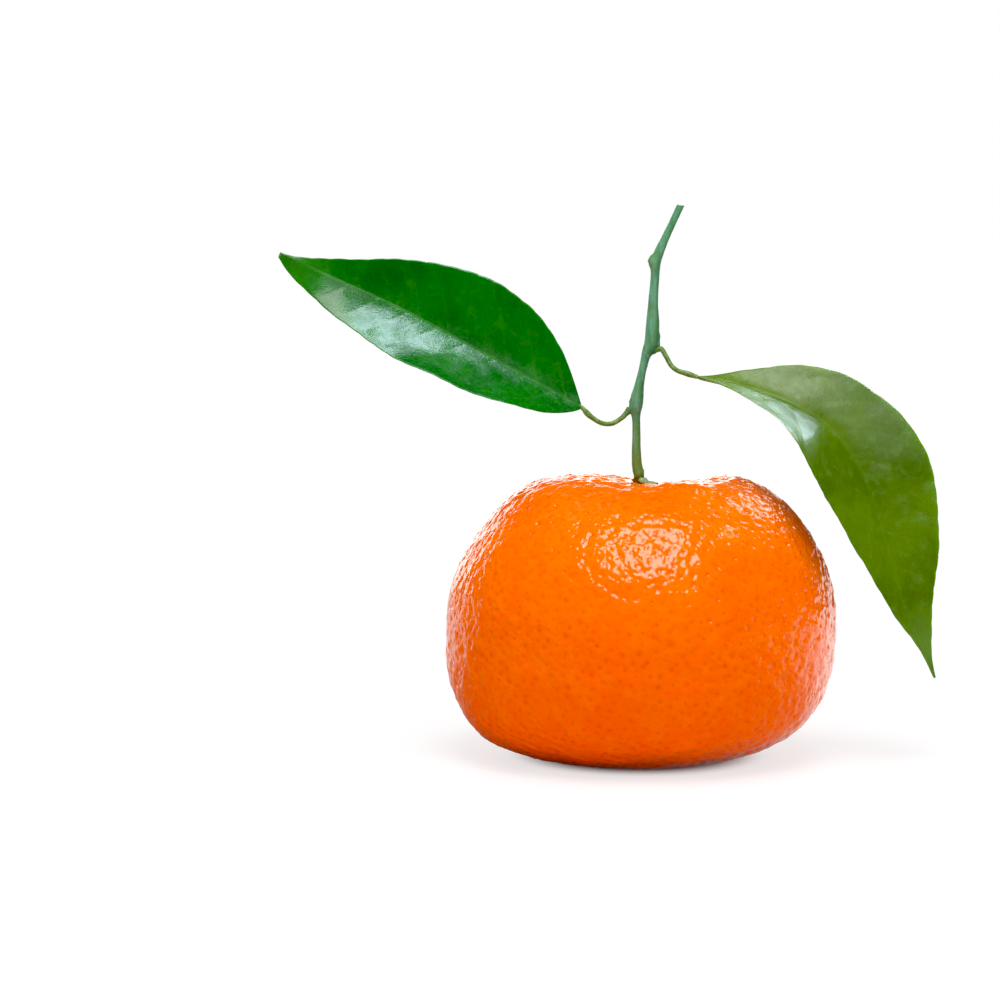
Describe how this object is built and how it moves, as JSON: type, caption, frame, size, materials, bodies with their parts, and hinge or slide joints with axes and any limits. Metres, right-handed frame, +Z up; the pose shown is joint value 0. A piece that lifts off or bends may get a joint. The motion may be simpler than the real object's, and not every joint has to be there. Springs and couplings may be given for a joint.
{
  "type": "mandarin",
  "caption": "Ripe mandarin, flattened from top to bottom, resting on its blossom end, with a short green twig that carries a raised leaf and an arching leaf.",
  "frame": {"origin": "middle of the small flat spot that the fruit rests on, below its stem", "axes": "+Z up through the stem end, +X to the right along the spread of the leaves, -Y towards the front"},
  "size_m": [0.1105, 0.0648, 0.0935],
  "materials": {
    "rind": "ripe orange citrus rind, waxy and pitted by oil glands",
    "calyx_skin": "dry grey-green calyx with a brown rim",
    "green_bark": "smooth young green bark, slightly angular",
    "stalk": "smooth olive-green leaf stalk",
    "dark_leaf": "leathery dark green leaf, glossy above and matt below",
    "light_leaf": "leathery yellow-green leaf, glossy above and matt below"
  },
  "bodies": {
    "root": {"fruit": "rind", "calyx": "calyx_skin", "twig": "green_bark", "petiole_left": "stalk", "petiole_right": "stalk", "leaf_left": "dark_leaf", "leaf_right": "light_leaf"}
  },
  "joints": []
}
